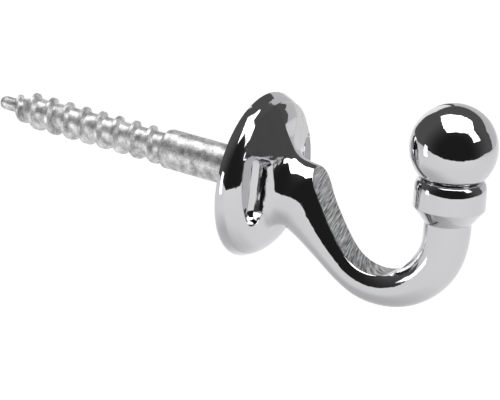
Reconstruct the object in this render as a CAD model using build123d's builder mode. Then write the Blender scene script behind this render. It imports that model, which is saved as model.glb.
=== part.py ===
# Single-arm wardrobe hook: a die-cast, chrome-plated body on a zinc-plated wood screw.
# All sizes are in millimetres. The origin is the centre of the rosette's back face, which sits
# on the door or wall. +Y runs along the screw into the wood and +Z is up.
# The hook stands out towards -Y, and X = 0 is its mirror plane.
import os
from math import atan, cos, degrees, radians, sin, tan

from build123d import *

# Rosette: a low dome
ROSETTE_DIAMETER = 20.8
ROSETTE_EDGE = 0.3  # straight stretch of the rim beside the wall
DOME_RISE = 3.1  # wall to the crest of the dome
DOME_WIDTH = 4.6  # rim to crest, across the dome
LIP_RISE = 2.6  # wall to where the steep lip turns into the flatter dome
LIP_WIDTH = 1.95  # rim to that turn
LIP_LEAN = 24.0  # degrees, the lip leans in from the start

# Flare between the rosette and the arm, with a fin that runs up to the rim
FLARE_WIDTH = 17.4  # where it rises from the dome
FLARE_BASE = 2.3  # wall to the level where it starts to narrow
FLARE_ROOT = 1.2  # its hidden end inside the rosette
FLARE_MARGIN = 0.65  # the fin's top stops this far inside the rim
FLARE_CREST = 3.6  # wall to the fin's ridge
FLARE_FOOT = 2.2  # how far the underside spreads at the base
FLARE_CORNER = 1.8  # radius of the ridge's corner at the rim
FLARE_POWER = 3  # how quickly it narrows: 1 is a straight cone, more is hollower
HOLLOW_ANGLES = (35, 65)  # degrees, where the hollow above the arm has its sections

# Pocket on each side of the arm
POCKET_FLOOR = 1.4  # wall to the pocket's floor
POCKET_RADIUS = 8.3  # of its outer wall at the floor
POCKET_RISE = 1.2  # the outer wall's centre lies this far above the screw's axis
POCKET_INNER = 4.2  # half the width that is left between the two pockets, at the floor
POCKET_TOP = 3.2  # height of the inner corner above the screw's axis
POCKET_BOTTOM = 4.5  # depth of the lower wall below the screw's axis
POCKET_SLOPE = 25.0  # degrees, how far its upper wall climbs outwards
POCKET_CORNER = 1.2
POCKET_FILLET = 1.1  # between its floor and its walls
POCKET_DRAFT = 10.0  # degrees, the walls lean outwards
POCKET_REACH = 3.7  # floor to the end of the cut, where its inner wall runs out into the arm

# Arm where it leaves the flare
ROOT_REACH = 6.4  # wall to the end of the flare, on top of the arm
ROOT_TOP = 3.3  # top of the arm above the screw's axis
ROOT_BOTTOM = 5.6  # underside of the arm below the screw's axis
ROOT_WIDTH = 6.7
UNDERSIDE_REACH = 5.0  # wall to the end of the flare, under the arm
UNDERSIDE_PULL = 6.6  # how far the straight underside runs up from the bend
SHOULDER_REACH = 8.15  # wall to the sharp corner where the ground flat begins
SHOULDER_OVERHANG = 0.4  # the raw casting reaches this far past that corner
SHOULDER_PULL = 3.5  # how far the raw inner side runs straight up from the bend
SHOULDER_TURN = 0.3  # share of that side in which the shoulder turns down
ARM_SHARES = (0.12, 0.35, 0.6, 0.8)  # where the arm has its sections, of its way to the bend

# Bend of the J and its stem
BEND_REACH = 18.2  # wall to the centre of the bend
BEND_DROP = 1.35  # the bend's centre lies this far below the screw's axis
BEND_RADIUS = 8.1  # on the arm's centre line
BEND_START = -125.0  # degrees, where the arm runs into the bend
BEND_ANGLES = (-108, -90, -67, -44, -20)  # degrees, where the bend has its sections
START_DIAMETER = 4.95  # at the start of the bend
ARM_DIAMETER = 5.05  # at the lowest point
STEM_DIAMETER = 5.74
STEM_LEAN = 3.4  # degrees, towards the wall
STEM_RISE = 1.5  # end of the bend to the collar

# Flat on the inner side of the arm, ground on a belt that runs over a wheel
WHEEL_RADIUS = 5.35
WHEEL_SHIFT = 1.25  # the wheel's centre lies this far from the bend's centre
WHEEL_ANGLE = -114.0  # degrees, the direction of that shift
WHEEL_LEAVES = -138.0  # degrees, where the belt leaves the wheel
WHEEL_SWEEP = 130.0  # degrees, how much of the wheel stays inside the casting or past it
BELT_INSET = 0.35  # above the sharp corner the belt has run this far in towards the wall
FLAT_EDGE_RADIUS = 0.2  # the flat's long edges are softened before plating

# Collar and ball on the stem
COLLAR_DIAMETER = 8.75
COLLAR_CHAMFER = 1.9  # height of the lower cone
COLLAR_BAND = 2.1  # height of the straight band
COLLAR_SHOULDER = 1.3  # height of the rounded shoulder under the ball
NOTCH_DIAMETER = 7.6  # where the shoulder meets the ball
BALL_DIAMETER = 10.65
BALL_RISE = 9.2  # underside of the collar to the ball's centre

# Wood screw
SCREW_DIAMETER = 5.0
SHANK_LENGTH = 13.0  # plain shank in front of the thread
SHANK_CHAMFER = 0.75
CORE_DIAMETER = 3.5
THREAD_DIAMETER = 4.6
THREAD_PITCH = 2.53
THREAD_TURNS = 8  # full turns, before the tapered end
THREAD_LEAD_IN = 0.5  # the ridge starts this far back, in the shank's chamfer
THREAD_BASE = 1.35  # width of the ridge at the core
THREAD_CREST = 0.4  # width of the ridge at its top
RIDGE_SINK = 0.2  # the ridge starts this far inside the core
TIP_TAPER = 2.8  # length of the taper from the core to the tip
TIP_DIAMETER = 1.75
TIP_LENGTH = 2.5
SEAT_DIAMETER = 4.4  # inner end of the screw, turned down to a shoulder
SEAT_DEPTH = 5.0  # of that end in the casting
SEAT_CLEARANCE = 0.02

rim = ROSETTE_DIAMETER / 2

# In the side view the first axis runs out from the wall and the second one up
side = Plane(origin=(0, 0, 0), x_dir=(0, -1, 0), z_dir=(-1, 0, 0))


def polar(centre, radius, angle):
    """A point of the side view, at an angle from the outward direction."""
    return (centre[0] + radius * cos(radians(angle)), centre[1] + radius * sin(radians(angle)))


def between(start, end, share):
    """The point or the size that lies a share of the way from start to end."""
    if isinstance(start, tuple):
        return tuple(between(a, b, share) for a, b in zip(start, end))
    return start + (end - start) * share


def curve(points, share):
    """A point of the smooth curve that a few control points pull into shape."""
    while len(points) > 1:
        points = [between(a, b, share) for a, b in zip(points, points[1:])]
    return points[0]


bend_centre = (BEND_REACH, -BEND_DROP)
wheel_centre = polar(bend_centre, WHEEL_SHIFT, WHEEL_ANGLE)
neck = polar(polar(bend_centre, BEND_RADIUS, STEM_LEAN), STEM_RISE, STEM_LEAN + 90)
stem_section = (polar(neck, STEM_DIAMETER / 2, STEM_LEAN), polar(neck, -STEM_DIAMETER / 2, STEM_LEAN))
stem_up = Vector(0, sin(radians(STEM_LEAN)), cos(radians(STEM_LEAN)))
stem_axis = Axis(Vector(0, -neck[0], neck[1]), stem_up)
stem_side = Plane(stem_axis.position, x_dir=(1, 0, 0), z_dir=Vector(1, 0, 0).cross(stem_up))


def flare_stations():
    """Sections of the flare, from the rosette out to the arm: lower point, upper point and width."""
    top = rim - FLARE_MARGIN
    corner = (FLARE_CREST - FLARE_CORNER, top - FLARE_CORNER)
    hollow = (ROOT_REACH - FLARE_CREST, corner[1] - ROOT_TOP)
    uppers = [(FLARE_ROOT, top)] + [polar(corner, FLARE_CORNER, angle) for angle in (90, 45, 0)]
    for angle in HOLLOW_ANGLES:
        out = ROOT_REACH - hollow[0] * cos(radians(angle))
        uppers.append((out, corner[1] - hollow[1] * sin(radians(angle))))
    for upper in uppers:
        share = max(0, (upper[0] - FLARE_BASE) / (ROOT_REACH - FLARE_BASE))
        lower_out = between(min(upper[0], FLARE_BASE), UNDERSIDE_REACH, share)
        spread = (1 - share) ** FLARE_POWER
        lower = (lower_out, -ROOT_BOTTOM - FLARE_FOOT * spread)
        yield lower, upper, between(ROOT_WIDTH, FLARE_WIDTH, spread)


def bend_station(angle):
    """The round section at an angle of the bend, where -90 is the lowest point."""
    end, diameter = (BEND_START, START_DIAMETER) if angle < -90 else (STEM_LEAN, STEM_DIAMETER)
    diameter = between(ARM_DIAMETER, diameter, (angle + 90) / (end + 90))
    outer = polar(bend_centre, BEND_RADIUS + diameter / 2, angle)
    inner = polar(bend_centre, BEND_RADIUS - diameter / 2, angle)
    return outer, inner, diameter


def arm_stations():
    """Sections from the root of the arm down to the bend: lower point, upper point and width."""
    outer, inner, diameter = bend_station(BEND_START)
    uphill = BEND_START - 90
    root = (UNDERSIDE_REACH, -ROOT_BOTTOM)
    shoulder = (SHOULDER_REACH + SHOULDER_OVERHANG, ROOT_TOP - SHOULDER_OVERHANG)
    lower_curve = [root, polar(outer, UNDERSIDE_PULL, uphill), outer]
    upper_curve = [shoulder, between(shoulder, inner, SHOULDER_TURN), polar(inner, SHOULDER_PULL, uphill), inner]
    yield root, (ROOT_REACH, ROOT_TOP), ROOT_WIDTH
    for share in ARM_SHARES:
        upper_share = (share - ARM_SHARES[0]) / (1 - ARM_SHARES[0])
        width = between(ROOT_WIDTH, diameter, share)
        yield curve(lower_curve, share), curve(upper_curve, upper_share), width
    for angle in (BEND_START, *BEND_ANGLES, STEM_LEAN):
        yield bend_station(angle)


def section_plane(lower, upper):
    """The plane across the arm that holds these two points of the side view."""
    middle = between(lower, upper, 0.5)
    across = (0, lower[1] - upper[1], lower[0] - upper[0])
    return Plane(origin=(0, -middle[0], middle[1]), x_dir=(1, 0, 0), z_dir=across)


with BuildPart() as hook_body:
    # Rosette: low dome with a flat back
    with BuildSketch(side):
        with BuildLine():
            Polyline((DOME_RISE, 0), (0, 0), (0, rim), (ROSETTE_EDGE, rim))
            Spline(
                (ROSETTE_EDGE, rim),
                (LIP_RISE, rim - LIP_WIDTH),
                (DOME_RISE, rim - DOME_WIDTH),
                tangents=[(cos(radians(LIP_LEAN)), -sin(radians(LIP_LEAN))), (0, -1)],
            )
            Line((DOME_RISE, rim - DOME_WIDTH), (DOME_RISE, 0))
        make_face()
    revolve(axis=Axis.Y)

    # Flare and arm: one row of sections from the wall round the bend to the collar
    for lower, upper, width in [*flare_stations(), *arm_stations()]:
        height = ((upper[0] - lower[0]) ** 2 + (upper[1] - lower[1]) ** 2) ** 0.5
        with BuildSketch(section_plane(lower, upper)):
            Ellipse(width / 2, height / 2)
    with BuildSketch(section_plane(*stem_section)):
        Circle(STEM_DIAMETER / 2)
    loft()

    # Pockets, one on each side of the arm
    with BuildSketch(Plane.XZ.offset(POCKET_FLOOR)) as pockets:
        with BuildLine():
            far = 2 * POCKET_RADIUS
            climb = (far - POCKET_INNER) * tan(radians(POCKET_SLOPE))
            Polyline(
                (POCKET_INNER, POCKET_TOP),
                (far, POCKET_TOP + climb),
                (far, -POCKET_BOTTOM),
                (POCKET_INNER, -POCKET_BOTTOM),
                close=True,
            )
        make_face()
        mirror(about=Plane.YZ)
        with Locations((0, POCKET_RISE)):
            Circle(POCKET_RADIUS, mode=Mode.INTERSECT)
        fillet(pockets.vertices(), POCKET_CORNER)
    extrude(amount=POCKET_REACH, taper=-POCKET_DRAFT, mode=Mode.SUBTRACT)
    floors = hook_body.edges().filter_by_position(Axis.Y, -POCKET_FLOOR, -POCKET_FLOOR)
    fillet(floors, POCKET_FILLET)

    # Flat on the inner side: the belt follows its wheel, then runs up in a gentle arc
    with BuildSketch(side):
        with BuildLine():
            wheel = CenterArc(wheel_centre, WHEEL_RADIUS, WHEEL_LEAVES, WHEEL_SWEEP)
            belt_end = (SHOULDER_REACH - BELT_INSET, ROOT_TOP + SHOULDER_OVERHANG)
            TangentArc(wheel @ 0, belt_end, tangent=-(wheel % 0))
            Polyline(belt_end, (wheel_centre[0], belt_end[1]), wheel @ 1)
        make_face()
    extrude(amount=ROOT_WIDTH, both=True, mode=Mode.SUBTRACT)
    ground_flat = hook_body.faces(Select.LAST).filter_by(GeomType.CYLINDER)
    long_edges = ground_flat.edges().filter_by(lambda edge: edge.length > ROOT_WIDTH)
    fillet(long_edges, FLAT_EDGE_RADIUS)

    # Collar and ball, turned about the stem's axis
    with BuildSketch(stem_side):
        with BuildLine():
            Polyline(
                (0, COLLAR_CHAMFER + COLLAR_BAND + COLLAR_SHOULDER),
                (0, 0),
                (STEM_DIAMETER / 2, 0),
                (COLLAR_DIAMETER / 2, COLLAR_CHAMFER),
                (COLLAR_DIAMETER / 2, COLLAR_CHAMFER + COLLAR_BAND),
            )
            EllipticalCenterArc(
                (NOTCH_DIAMETER / 2, COLLAR_CHAMFER + COLLAR_BAND),
                (COLLAR_DIAMETER - NOTCH_DIAMETER) / 2,
                COLLAR_SHOULDER,
                arc_size=90,
            )
            Line(
                (NOTCH_DIAMETER / 2, COLLAR_CHAMFER + COLLAR_BAND + COLLAR_SHOULDER),
                (0, COLLAR_CHAMFER + COLLAR_BAND + COLLAR_SHOULDER),
            )
        make_face()
    revolve(axis=stem_axis)
    with Locations(stem_side.from_local_coords(Vector(0, BALL_RISE, 0))):
        Sphere(BALL_DIAMETER / 2)

    # Blind hole in the back for the screw's inner end, its mouth chamfered clear of the shank
    with BuildSketch(Plane.XZ):
        Circle(SEAT_DIAMETER / 2 + SEAT_CLEARANCE)
    extrude(amount=SEAT_DEPTH, mode=Mode.SUBTRACT)
    mouth = hook_body.edges(Select.LAST).filter_by_position(Axis.Y, 0, 0)
    chamfer(mouth, (SCREW_DIAMETER - SEAT_DIAMETER) / 2)

with BuildPart() as wood_screw:
    # Shank, core and blunt tip
    shank_end = SHANK_LENGTH + SHANK_CHAMFER
    taper_start = shank_end - THREAD_LEAD_IN + THREAD_TURNS * THREAD_PITCH
    tip_start = taper_start + TIP_TAPER
    tip_end = tip_start + TIP_LENGTH
    with BuildSketch(Plane.YZ):
        with BuildLine():
            Polyline(
                (tip_end - TIP_DIAMETER / 2, TIP_DIAMETER / 2),
                (tip_start, TIP_DIAMETER / 2),
                (taper_start, CORE_DIAMETER / 2),
                (shank_end, CORE_DIAMETER / 2),
                (SHANK_LENGTH, SCREW_DIAMETER / 2),
                (0, SCREW_DIAMETER / 2),
                (0, SEAT_DIAMETER / 2),
                (-SEAT_DEPTH, SEAT_DIAMETER / 2),
                (-SEAT_DEPTH, 0),
                (tip_end, 0),
            )
            TangentArc(
                (tip_end - TIP_DIAMETER / 2, TIP_DIAMETER / 2), (tip_end, 0), tangent=(1, 0)
            )
        make_face()
    revolve(axis=Axis.Y)

    # Ridge of the thread, turn by turn, with a last turn that follows the taper
    ridge_root = CORE_DIAMETER / 2 - RIDGE_SINK
    ridge_height = THREAD_DIAMETER / 2 - ridge_root
    taper_angle = degrees(atan((TIP_DIAMETER - CORE_DIAMETER) / 2 / TIP_TAPER))
    for turn in range(THREAD_TURNS + 1):
        with BuildLine():
            turn_start = (0, shank_end - THREAD_LEAD_IN + turn * THREAD_PITCH, 0)
            cone = taper_angle if turn == THREAD_TURNS else 0
            path = Helix(
                THREAD_PITCH, THREAD_PITCH, ridge_root, turn_start, (0, 1, 0), cone_angle=cone
            )
        outward = (path @ 0) - Vector(*turn_start)
        with BuildSketch(Plane(path @ 0, x_dir=outward, z_dir=path % 0)):
            with BuildLine():
                Polyline(
                    (0, THREAD_BASE / 2),
                    (ridge_height, THREAD_CREST / 2),
                    (ridge_height, -THREAD_CREST / 2),
                    (0, -THREAD_BASE / 2),
                    close=True,
                )
            make_face()
        sweep(is_frenet=True)

hook_body.part.label = "hook_body"
wood_screw.part.label = "wood_screw"
os.makedirs("parts", exist_ok=True)
export_step(hook_body.part, "parts/hook_body.step")
export_step(wood_screw.part, "parts/wood_screw.step")
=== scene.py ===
import math

import bpy
from mathutils import Matrix, Vector

MM = 0.001
WHITE = (1, 1, 1, 1)

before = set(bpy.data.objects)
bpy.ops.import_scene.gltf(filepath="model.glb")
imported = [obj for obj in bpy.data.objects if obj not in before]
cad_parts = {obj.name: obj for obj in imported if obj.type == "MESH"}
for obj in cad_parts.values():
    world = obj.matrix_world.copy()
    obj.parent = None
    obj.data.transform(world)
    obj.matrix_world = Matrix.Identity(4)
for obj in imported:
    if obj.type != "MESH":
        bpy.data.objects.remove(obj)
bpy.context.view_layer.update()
hook_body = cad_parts["hook_body"]
wood_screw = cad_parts["wood_screw"]


# ---- colours and nodes ----
def srgb(hex_colour):
    """The linear colour of an sRGB hex value such as "c8c9cb"."""
    channels = []
    for i in (0, 2, 4):
        value = int(hex_colour[i : i + 2], 16) / 255
        channels.append(value / 12.92 if value <= 0.04045 else ((value + 0.055) / 1.055) ** 2.4)
    return (*channels, 1.0)


def per_metre(spacing_mm):
    """The scale of a pattern whose marks lie this many millimetres apart."""
    return 1 / (spacing_mm * MM)


def add_node(owner, kind, settings=None, values=(), **named):
    """Adds a node with its settings, its inputs filled in their order or by their names.

    An input takes a plain value, the socket that feeds it, or a node, for that node's first output.
    """
    tree = owner.node_tree
    node = tree.nodes.new(kind)
    for name, value in (settings or {}).items():
        setattr(node, name, value)
    in_use = [socket for socket in node.inputs if socket.enabled]
    fed = list(zip(in_use, values))
    for name, value in named.items():
        fed.append((next(s for s in in_use if s.name == name.replace("_", " ")), value))
    for socket, value in fed:
        if isinstance(value, bpy.types.Node):
            value = next(output for output in value.outputs if output.enabled)
        if isinstance(value, bpy.types.NodeSocket):
            tree.links.new(value, socket)
        else:
            socket.default_value = value
    return node


def new_material(name):
    """A material that has no nodes yet."""
    material = bpy.data.materials.new(name)
    material.use_nodes = True
    material.node_tree.nodes.clear()
    return material


def add_surface(material, kind, **named):
    """The shader of a material's surface, with the output that shows it."""
    shader = add_node(material, kind, **named)
    add_node(material, "ShaderNodeOutputMaterial", Surface=shader)


def zone(material, *limits):
    """A mask of 0 to 1. Each limit is a measure, and the values where its part fades in."""
    inside = 1.0
    for measure, start, end in limits:
        fade = add_node(material, "ShaderNodeMapRange", None, (measure, start, end))
        inside = add_node(material, "ShaderNodeMath", {"operation": "MULTIPLY"}, (inside, fade))
    return inside


def two_tones(material, pattern, start, end, dark, light):
    """Two tones, dark where the pattern is at its start and light at its end: the zinc's blotches,
    and the ground flat's scratches with painted sheen.
    """
    amount = add_node(material, "ShaderNodeMapRange", None, (pattern, start, end))
    colours = (amount, srgb(dark), srgb(light))
    return add_node(material, "ShaderNodeMix", {"data_type": "RGBA"}, colours)


SMOOTH = {"interpolation_type": "SMOOTHSTEP"}

# ---- chrome: bright plate on a polished zinc casting ----
# A near mirror, a little uneven: slow waves from hand polishing, and a fine orange peel from the
# casting, drawn coarser than it is so that it shows
POLISH_WAVE = 2.38  # mm
ORANGE_PEEL = 0.3846  # mm
PEEL_SHARE = 0.16  # of the waves' height
EDGE_ROUNDING = 0.15 * MM  # of every edge, in the shading only
POLISH_BUMP = 0.06 * MM

chrome = new_material("chrome_plate_on_casting")
place = add_node(chrome, "ShaderNodeTexCoord").outputs["Object"]
waves = add_node(
    chrome, "ShaderNodeTexNoise", Vector=place, Scale=per_metre(POLISH_WAVE), Detail=1.0
)
peel = add_node(
    chrome, "ShaderNodeTexNoise", Vector=place, Scale=per_metre(ORANGE_PEEL), Detail=2.0
)
heights = add_node(
    chrome, "ShaderNodeMath", {"operation": "MULTIPLY_ADD"}, (peel, PEEL_SHARE, waves)
)
rounded = add_node(chrome, "ShaderNodeBevel", {"samples": 8}, Radius=EDGE_ROUNDING)

# In three zones the solid's surface would mirror something else than the real casting's does, so
# the shading there follows a normal of its own, and the mesh stays as it is. The zones are placed
# by measures in millimetres: x to the side, z up, the distance out from the wall, and the radius
# about the rosette's axis
in_mm = add_node(chrome, "ShaderNodeVectorMath", {"operation": "SCALE"}, (place, 1 / MM))
axes = add_node(chrome, "ShaderNodeSeparateXYZ", Vector=in_mm)
x, z = axes.outputs["X"], axes.outputs["Z"]
out = add_node(chrome, "ShaderNodeMath", {"operation": "MULTIPLY"}, (axes.outputs["Y"], -1))
on_wall = add_node(chrome, "ShaderNodeVectorMath", {"operation": "MULTIPLY"}, (in_mm, (1, 0, 1)))
radius = add_node(chrome, "ShaderNodeVectorMath", {"operation": "LENGTH"}, (on_wall,))
radial = add_node(chrome, "ShaderNodeVectorMath", {"operation": "NORMALIZE"}, (on_wall,))

# Zone 1, the rim: round at the wall, upright, then turning into the lip that leans in. Its angles
# are from straight out of the wall. At its top it lies flatter
RIM_FOOT, RIM_SHOULDER, LIP_START, LIP_END = 0.05, 0.9, 1.35, 2.0  # mm out from the wall
FOOT_ANGLE, UPRIGHT_ANGLE, LIP_ANGLE, LIP_LEAN = map(math.radians, (25, 90, 50, -10))
TOP_START, TOP_END, TOP_SHARE = 0.91, 0.97, 0.58  # the radial direction's z, and the angle's share
RIM_RADIUS = 9.0  # mm, where the rim begins

turns = [
    add_node(chrome, "ShaderNodeMapRange", settings, (out, start, end, first, last))
    for settings, start, end, first, last in (
        (SMOOTH, RIM_SHOULDER, LIP_START, UPRIGHT_ANGLE, LIP_ANGLE),
        (None, RIM_FOOT, RIM_SHOULDER, FOOT_ANGLE, 0),
        (None, LIP_START, LIP_END, 0, LIP_LEAN),
    )
]
angle = 0.0
for turn in turns:
    angle = add_node(chrome, "ShaderNodeMath", {"operation": "ADD"}, (angle, turn))
height = add_node(chrome, "ShaderNodeSeparateXYZ", Vector=radial).outputs["Z"]
at_top = add_node(chrome, "ShaderNodeMapRange", SMOOTH, (height, TOP_START, TOP_END, 1, TOP_SHARE))
angle = add_node(chrome, "ShaderNodeMath", {"operation": "MULTIPLY"}, (angle, at_top))
parts = []
for operation, direction in (("SINE", radial), ("COSINE", (0, -1, 0))):
    length = add_node(chrome, "ShaderNodeMath", {"operation": operation}, (angle,))
    parts.append(
        add_node(chrome, "ShaderNodeVectorMath", {"operation": "SCALE"}, (direction, length))
    )
rim_normal = add_node(chrome, "ShaderNodeVectorMath", {"operation": "ADD"}, parts)
on_rim = zone(
    chrome,
    (radius, RIM_RADIUS, RIM_RADIUS + 0.3),
    (out, 0.02, 0.1),
    (out, LIP_END + 0.2, LIP_END - 0.1),
)
normal = add_node(chrome, "ShaderNodeMix", {"data_type": "VECTOR"}, (on_rim, rounded, rim_normal))

# Zone 2, the fin above the arm: a flat flank on each side of a crest that widens towards the top
FLANK_SIDE, FLANK_OUT, FLANK_UP = 0.30, -0.85, 0.43  # the flank's normal
CREST_START, CREST_END, CREST_HALF = 4.3, 8.3, 1.5  # mm, z where the crest widens, and how far
ROSETTE_MIDDLE = (0, 0, 1.2)  # mm

side = add_node(chrome, "ShaderNodeMath", {"operation": "SIGN"}, (x,))
side = add_node(chrome, "ShaderNodeMath", {"operation": "MULTIPLY"}, (side, FLANK_SIDE))
flank_normal = add_node(chrome, "ShaderNodeCombineXYZ", None, (side, FLANK_OUT, FLANK_UP))
crest = add_node(chrome, "ShaderNodeMapRange", SMOOTH, (z, CREST_START, CREST_END, 0, CREST_HALF))
aside = add_node(chrome, "ShaderNodeMath", {"operation": "ABSOLUTE"}, (x,))
aside = add_node(chrome, "ShaderNodeMath", {"operation": "SUBTRACT"}, (aside, crest))
from_middle = add_node(
    chrome, "ShaderNodeVectorMath", {"operation": "DISTANCE"}, (on_wall, ROSETTE_MIDDLE)
)
on_flank = zone(
    chrome,
    (aside, 0.0, 0.25),
    (z, 3.4, 4.2),
    (out, 1.7, 2.1),
    (out, 6.2, 4.6),
    (from_middle, 8.9, 8.6),
)
normal = add_node(
    chrome, "ShaderNodeMix", {"data_type": "VECTOR"}, (on_flank, normal, flank_normal)
)

# Zone 3, the collar's band and the top of the stem: they taper down a little and mirror the floor
STEM_LEAN = math.radians(3.4)
STEM_UP = Vector((0, math.sin(STEM_LEAN), math.cos(STEM_LEAN)))
TAPER = 0.13  # the normal's share of the way down the stem

up_stem = add_node(
    chrome, "ShaderNodeVectorMath", {"operation": "DOT_PRODUCT"}, (in_mm, STEM_UP)
)
on_stem = zone(chrome, (up_stem, 3.4, 3.1), (up_stem, -4.5, -2.5), (out, 20.0, 20.5))
droop = add_node(
    chrome, "ShaderNodeVectorMath", {"operation": "SCALE"}, (STEM_UP * -TAPER, on_stem)
)
normal = add_node(chrome, "ShaderNodeVectorMath", {"operation": "ADD"}, (normal, droop))
normal = add_node(chrome, "ShaderNodeVectorMath", {"operation": "NORMALIZE"}, (normal,))

bump = add_node(
    chrome, "ShaderNodeBump", Strength=0.6, Distance=POLISH_BUMP, Height=heights, Normal=normal
)
add_surface(
    chrome,
    "ShaderNodeBsdfPrincipled",
    Metallic=1.0,
    Base_Color=srgb("cdcdcf"),
    Roughness=0.045,
    Normal=bump,
)

# ---- the same plate over belt-ground metal: the belt's scratches run across the flat, their light streaks partly painted sheen ----
SCRATCH_SPACING = 0.1818  # mm, coarser than the belt's grit so that they show
SCRATCH_LENGTH = 2.38  # mm
SCRATCH_DEPTH = 0.06 * MM
ACROSS_SCRATCHES, ALONG_SCRATCHES = (-0.34, 0.42, 0.84), (0.94, 0.15, 0.3)

ground = new_material("chrome_plate_on_ground_flat")
place = add_node(ground, "ShaderNodeTexCoord").outputs["Object"]
along_axes = []
for direction, spacing in (
    (ACROSS_SCRATCHES, SCRATCH_SPACING),
    (ALONG_SCRATCHES, SCRATCH_LENGTH),
):
    metres = add_node(
        ground, "ShaderNodeVectorMath", {"operation": "DOT_PRODUCT"}, (place, direction)
    )
    along_axes.append(
        add_node(ground, "ShaderNodeMath", {"operation": "MULTIPLY"}, (metres, per_metre(spacing)))
    )
lines = add_node(ground, "ShaderNodeCombineXYZ", None, along_axes)
scratches = add_node(
    ground,
    "ShaderNodeTexNoise",
    {"noise_dimensions": "2D"},
    Vector=lines,
    Scale=1.0,
    Detail=3.0,
    Roughness=0.6,
)
bump = add_node(ground, "ShaderNodeBump", Strength=0.8, Distance=SCRATCH_DEPTH, Height=scratches)
# The scratches' tones are partly the ground metal's own marks and partly painted sheen: the light
# streaks are lighter than the plate, as if they caught the light
add_surface(
    ground,
    "ShaderNodeBsdfPrincipled",
    Metallic=1.0,
    Base_Color=two_tones(ground, scratches, 0.35, 0.65, "606062", "e8e8ea"),
    Roughness=0.28,
    Normal=bump,
)

# ---- zinc, barrel-plated on a rolled steel screw: dull, slightly grainy and blotched ----
GRAIN = 0.1429  # mm, coarser than the plate's crystals so that it shows
GRAIN_SHARE = 0.7  # of the blotches' strength
BLOTCH = 1.0  # mm
GRAIN_DEPTH = 0.04 * MM

zinc = new_material("zinc_plate_on_steel")
place = add_node(zinc, "ShaderNodeTexCoord").outputs["Object"]
grain, blotch = (
    add_node(zinc, "ShaderNodeTexNoise", Vector=place, Scale=per_metre(size), Detail=2.0)
    for size in (GRAIN, BLOTCH)
)
both = add_node(zinc, "ShaderNodeMath", {"operation": "MULTIPLY_ADD"}, (grain, GRAIN_SHARE, blotch))
bump = add_node(zinc, "ShaderNodeBump", Strength=0.7, Distance=GRAIN_DEPTH, Height=grain)
add_surface(
    zinc,
    "ShaderNodeBsdfPrincipled",
    Metallic=0.72,
    Base_Color=two_tones(zinc, both, 0.6, 1.1, "989898", "f8f8f8"),
    Roughness=0.34,
    Normal=bump,
)

for node, materials in ((hook_body, (chrome, ground)), (wood_screw, (zinc,))):
    node.data.materials.clear()
    for material in materials:
        node.data.materials.append(material)

# The ground flat is the one surface inside the arm that runs straight across it, and faces up
GROUND_SLOT = 1
ACROSS_ARM = 0.004  # the largest x of the normal
for face in hook_body.data.polygons:
    middle = face.center / MM
    inside_arm = -20.5 < middle.y < -7.6 and -8.5 < middle.z < 3.6
    faces_up = face.normal.z - face.normal.y > 0.5
    if inside_arm and faces_up and abs(face.normal.x) < ACROSS_ARM:
        face.material_index = GROUND_SLOT

# ---- camera, fitted to the photograph ----
RIGHT = Vector((0.50215, -0.85774, 0.10959))
UP = Vector((0.21553, 0.24681, 0.94479))
BACK = RIGHT.cross(UP)
CAMERA_RIGHT, CAMERA_UP, CAMERA_BACK = -1.065 * MM, -3.248 * MM, 350 * MM

camera_data = bpy.data.cameras.new("camera")
camera_data.lens = 204.05
camera_data.sensor_width = 36
camera_data.clip_start = 0.01
camera = bpy.data.objects.new("camera", camera_data)
camera_place = RIGHT * CAMERA_RIGHT + UP * CAMERA_UP + BACK * CAMERA_BACK
turned = Matrix((RIGHT, UP, BACK)).transposed().to_4x4()
camera.matrix_world = Matrix.Translation(camera_place) @ turned
bpy.context.scene.collection.objects.link(camera)
bpy.context.scene.camera = camera

# ---- studio ----
BALL = Vector((0, -25.65, 9.81)) * MM
AWAY = Vector((-BACK.x, -BACK.y, 0)).normalized()
ACROSS = Vector((RIGHT.x, RIGHT.y, 0)).normalized()


def bearing(azimuth, elevation):
    """A direction by its angle to the right of the way away from the camera, and its height."""
    level = Matrix.Rotation(math.radians(-azimuth), 3, "Z") @ AWAY
    rise = math.radians(elevation)
    return level * math.cos(rise) + Vector((0, 0, math.sin(rise)))


def add_sheet(name, points, material):
    """A flat sheet of the studio with these corners."""
    mesh = bpy.data.meshes.new(name)
    mesh.from_pydata(points, [], [range(len(points))])
    mesh.materials.append(material)
    sheet = bpy.data.objects.new(name, mesh)
    bpy.context.scene.collection.objects.link(sheet)
    return sheet


# What the chrome mirrors besides the floor: a softbox overhead, a tall lamp on the right, a small
# one low on the left, and two sheets behind. Each has its name, its strength, its distance from
# the ball in metres, and the bearings of its corners
SOFTBOX = (
    (-49.7, 51.0),
    (65.6, 60.1),
    (106.6, 51.5),
    (137.4, 51.5),
    (-142.7, 49.0),
    (-117.7, 55.1),
)
LAMP_RIGHT = ((104, 26), (127, 27), (134, 50), (106, 54))
LAMP_LEFT = ((-110, -20), (-96, -20), (-97, 2), (-107, 2))
BEHIND = ((-30, -4), (-5, -4), (-5, 28), (-28, 28))
BEHIND_RIGHT = ((-1, -4), (30, -5), (66, -5), (64, 26), (30, 30), (-1, 28))
PANELS = (
    ("softbox_above", 4.0, 0.9, SOFTBOX),
    ("lamp_right", 3.0, 1.0, LAMP_RIGHT),
    ("lamp_left", 2.5, 0.2, LAMP_LEFT),
    ("sheet_behind", 1.1, 1.4, BEHIND),
    ("sheet_behind_right", 0.7, 1.4, BEHIND_RIGHT),
)
for name, strength, distance, corners in PANELS:
    glow = new_material(name)
    add_surface(glow, "ShaderNodeEmission", Color=WHITE, Strength=strength)
    sheet = add_sheet(name, [BALL + bearing(*corner) * distance for corner in corners], glow)
    sheet.visible_camera = sheet.visible_diffuse = sheet.visible_shadow = False

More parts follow.
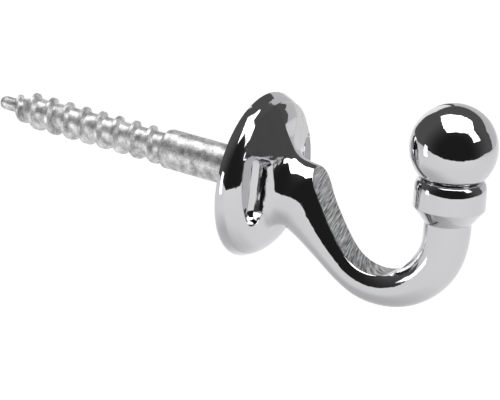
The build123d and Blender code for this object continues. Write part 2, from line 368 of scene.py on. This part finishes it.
# The floor is a white sheet. In front of its near edge the chrome mirrors the dark studio. The
# metal sees the sheet's middle dimmed, as the hook's own soft shadow would dim it
FLOOR = -75 * MM
FLOOR_SIDE, FLOOR_NEAR, FLOOR_FAR = 1.5, -0.29, 1.5
SHADOW_MIDDLE = (0, 20 * MM, FLOOR)
SHADOW_INNER, SHADOW_OUTER = 20 * MM, 90 * MM
GLOW_IN_SHADOW, GLOW_OUTSIDE = -0.05, 0.27  # added to the floor's own light
GLOW_TO_CAMERA = 0.4

paper = new_material("white_paper")
rays = add_node(paper, "ShaderNodeLightPath").outputs
straight = add_node(
    paper,
    "ShaderNodeMath",
    {"operation": "MAXIMUM"},
    (rays["Is Camera Ray"], rays["Is Transmission Ray"]),
)
place = add_node(paper, "ShaderNodeTexCoord").outputs["Object"]
from_shadow = add_node(
    paper, "ShaderNodeVectorMath", {"operation": "DISTANCE"}, (place, SHADOW_MIDDLE)
)
lit = add_node(
    paper,
    "ShaderNodeMapRange",
    SMOOTH,
    (from_shadow, SHADOW_INNER, SHADOW_OUTER, GLOW_IN_SHADOW, GLOW_OUTSIDE),
)
mirrored = add_node(
    paper, "ShaderNodeMath", {"operation": "MULTIPLY"}, (rays["Is Glossy Ray"], lit)
)
glow = add_node(
    paper, "ShaderNodeMath", {"operation": "MULTIPLY_ADD"}, (straight, GLOW_TO_CAMERA, mirrored)
)
add_surface(
    paper,
    "ShaderNodeBsdfPrincipled",
    Base_Color=srgb("f4f4f4"),
    Roughness=0.9,
    Emission_Color=WHITE,
    Emission_Strength=glow,
)
floor_corners = (
    (-FLOOR_SIDE, FLOOR_NEAR),
    (FLOOR_SIDE, FLOOR_NEAR),
    (FLOOR_SIDE, FLOOR_FAR),
    (-FLOOR_SIDE, FLOOR_FAR),
)
add_sheet(
    "floor",
    [ACROSS * across + AWAY * away + Vector((0, 0, FLOOR)) for across, away in floor_corners],
    paper,
)

# The dark room is deep behind the camera and less so behind the object
ROOM_RADIUS = 3.0
DEEP_END, LIGHT_END = -2.4, 0.6  # metres away from the camera's side
DEEP_GLOW, LIGHT_GLOW = 0.018, 0.11

dark = new_material("dark_room")
point = add_node(dark, "ShaderNodeNewGeometry").outputs["Position"]
away = add_node(dark, "ShaderNodeVectorMath", {"operation": "DOT_PRODUCT"}, (point, AWAY))
amount = add_node(
    dark, "ShaderNodeMapRange", SMOOTH, (away, DEEP_END, LIGHT_END, DEEP_GLOW, LIGHT_GLOW)
)
add_surface(dark, "ShaderNodeEmission", Color=WHITE, Strength=amount)
bpy.ops.mesh.primitive_uv_sphere_add(radius=ROOM_RADIUS, segments=64, ring_count=32)
room = bpy.context.object
room.name = "dark_room"
room.data.materials.append(dark)
room.visible_camera = room.visible_diffuse = room.visible_shadow = False

# Two soft lamps light the floor and the screw, and the chrome doesn't mirror them
LAMP_WIDTH = 0.8
for name, lamp_place, power in (
    ("key", (-0.78, -0.42, 0.36), 4.2),
    ("fill", (0.6, -0.2, 0.7), 1.5),
):
    lamp_data = bpy.data.lights.new(name, "AREA")
    lamp_data.size = LAMP_WIDTH
    lamp_data.energy = power
    lamp = bpy.data.objects.new(name, lamp_data)
    lamp.location = lamp_place
    lamp.rotation_mode = "QUATERNION"
    lamp.rotation_quaternion = Vector(lamp_place).to_track_quat("Z", "Y")
    lamp.visible_glossy = False
    bpy.context.scene.collection.objects.link(lamp)

# The world is plain white where it is seen, and lights the object at half of that
WORLD_LIGHT, WORLD_SEEN = 0.5, 1.0
world = bpy.data.worlds.new("studio")
bpy.context.scene.world = world
world.use_nodes = True
world.node_tree.nodes.clear()
rays = add_node(world, "ShaderNodeLightPath").outputs
seen = rays["Is Camera Ray"]
for other in ("Is Glossy Ray", "Is Transmission Ray"):
    seen = add_node(world, "ShaderNodeMath", {"operation": "MAXIMUM"}, (seen, rays[other]))
amount = add_node(world, "ShaderNodeMapRange", None, (seen, 0, 1, WORLD_LIGHT, WORLD_SEEN))
background = add_node(world, "ShaderNodeBackground", Color=WHITE, Strength=amount)
add_node(world, "ShaderNodeOutputWorld", Surface=background)

bpy.context.scene.view_settings.view_transform = "Standard"
